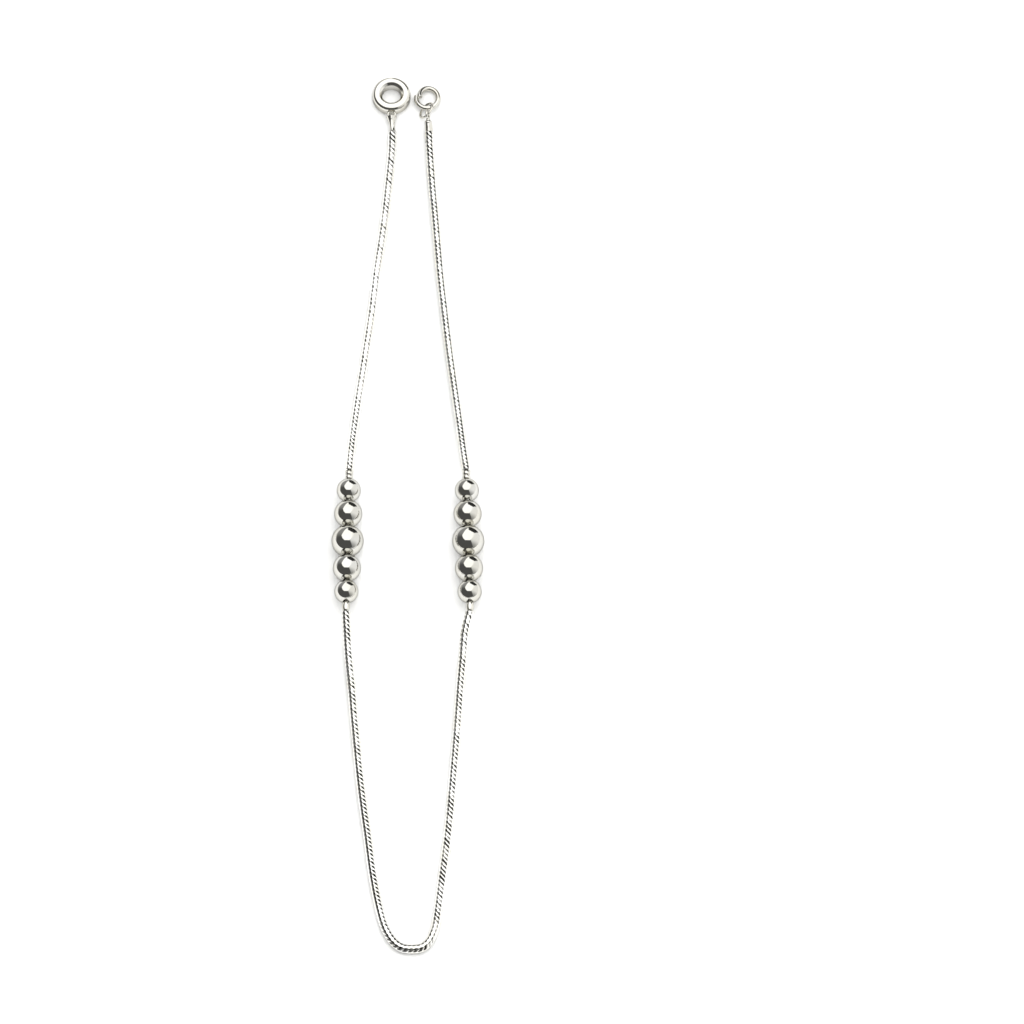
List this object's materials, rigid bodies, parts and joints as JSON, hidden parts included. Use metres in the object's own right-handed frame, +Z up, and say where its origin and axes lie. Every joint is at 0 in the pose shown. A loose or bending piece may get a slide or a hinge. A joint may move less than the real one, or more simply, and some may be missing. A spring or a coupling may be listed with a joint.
{
  "type": "beaded chain anklet",
  "caption": "Silver snake-chain anklet lying open in a long U, with graduated ball beads in a group on each side, a thick closed ring on one end and an open wire hook ring on the other.",
  "frame": {"origin": "on the surface that the anklet lies on, under the middle of its box", "axes": "+Y from the U bend towards the rings, +X from the end-ring strand towards the hook-ring strand, +Z up"},
  "size_m": [0.0188, 0.121, 0.004],
  "materials": {
    "snake_chain": "close bright silver plates with dark seams",
    "polished_bead": "mirror-polished silver",
    "bead_bar": "polished silver, soldered",
    "polished_ring": "polished silver",
    "clasp_wire": "polished silver wire"
  },
  "bodies": {
    "root": {"chain_left_arm": "snake_chain", "chain_right_arm": "snake_chain", "chain_bend": "snake_chain", "bead_bar_left": "bead_bar", "bead_bar_right": "bead_bar", "end_ring": "polished_ring", "hook_ring": "clasp_wire", "jump_ring": "clasp_wire", "hook_side_end": "clasp_wire", "bead_left_1": "polished_bead", "bead_left_2": "polished_bead", "bead_left_3": "polished_bead", "bead_left_4": "polished_bead", "bead_left_5": "polished_bead", "bead_right_1": "polished_bead", "bead_right_2": "polished_bead", "bead_right_3": "polished_bead", "bead_right_4": "polished_bead", "bead_right_5": "polished_bead"}
  },
  "joints": []
}
